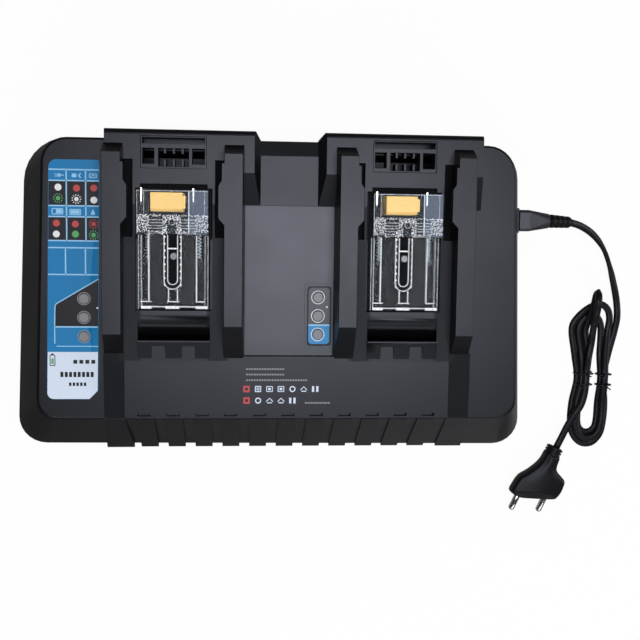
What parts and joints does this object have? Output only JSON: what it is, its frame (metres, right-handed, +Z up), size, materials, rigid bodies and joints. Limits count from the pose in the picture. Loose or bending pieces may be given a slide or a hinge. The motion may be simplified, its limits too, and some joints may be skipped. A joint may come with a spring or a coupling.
{
  "type": "power tool battery charger",
  "caption": "Free-standing mains charger with side by side slide-on battery bays, sprung clear contact covers, status lights and a flat cord with a plug.",
  "frame": {"origin": "on the surface the charger stands on, under the middle of the case without its cord", "axes": "+X to the right across both bays, +Y to the back, the way a battery slides on, +Z up"},
  "size_m": [0.3875, 0.2417, 0.084],
  "materials": {
    "case_plastic": "satin",
    "plate_plastic": "satin",
    "label_film": "gloss",
    "lens_plastic": "satin",
    "plated_steel": "satin",
    "foot_rubber": "matte",
    "clear_plastic": "clear",
    "spring_steel": "bright",
    "yellow_plastic": "satin",
    "contact_metal": "bright",
    "circuit_board": "satin",
    "core_ferrite": "matte",
    "winding_copper": "satin",
    "capacitor_sleeve": "satin",
    "sink_aluminium": "satin",
    "moulded_black": "satin",
    "cord_rubber": "satin"
  },
  "bodies": {
    "charger": {"lower_case": "case_plastic", "upper_case": "case_plastic", "battery_rails_left": "case_plastic", "battery_rails_right": "case_plastic", "middle_plate": "plate_plastic", "indicator_panel": "label_film", "status_label": "label_film", "status_lenses_left": "lens_plastic", "status_lenses_middle": "lens_plastic", "vent_grille_left": "plate_plastic", "vent_grille_right": "plate_plastic", "case_screws": "plated_steel", "rubber_feet": "foot_rubber", "cover_springs_left": "spring_steel", "cover_springs_right": "spring_steel", "guide_screw_left": "plated_steel", "guide_screw_right": "plated_steel", "terminal_block_left": "yellow_plastic", "terminal_block_right": "yellow_plastic", "terminal_blades_left": "contact_metal", "terminal_blades_right": "contact_metal", "terminal_board_left": "circuit_board", "terminal_board_right": "circuit_board", "main_board": "circuit_board", "board_screws": "plated_steel", "indicator_board_left": "circuit_board", "indicator_board_middle": "circuit_board", "transformer_core": "core_ferrite", "transformer_winding": "winding_copper", "mains_choke": "winding_copper", "storage_capacitors": "capacitor_sleeve", "heat_sink": "sink_aluminium", "power_transistors": "moulded_black", "buzzer": "moulded_black", "fan_frame": "moulded_black", "power_inlet": "moulded_black", "cord_connector": "cord_rubber", "cord_relief": "cord_rubber", "cord_lead": "cord_rubber", "cord_hank": "cord_rubber", "hank_tie": "moulded_black", "cord_tail": "cord_rubber", "plug_relief": "cord_rubber", "plug_body": "cord_rubber", "plug_pins": "contact_metal"},
    "left_cover": {"clear_cover_left": "clear_plastic"},
    "right_cover": {"clear_cover_right": "clear_plastic"},
    "fan_rotor": {"fan_rotor": "moulded_black"}
  },
  "joints": [
    {"name": "left_cover_slide", "type": "slide", "parent": "charger", "child": "left_cover", "axis": [0, 1, 0], "range_m": [0, 0.013], "stiffness_N_per_m": 120, "springref_m": -0.012, "deforming": ["cover_springs_left"]},
    {"name": "right_cover_slide", "type": "slide", "parent": "charger", "child": "right_cover", "axis": [0, 1, 0], "range_m": [0, 0.013], "stiffness_N_per_m": 120, "springref_m": -0.012, "deforming": ["cover_springs_right"]},
    {"name": "fan_spin", "type": "hinge", "parent": "charger", "child": "fan_rotor", "pos_m": [0.0066, 0.077, 0.031], "axis": [0, 1, 0], "continuous": true}
  ]
}
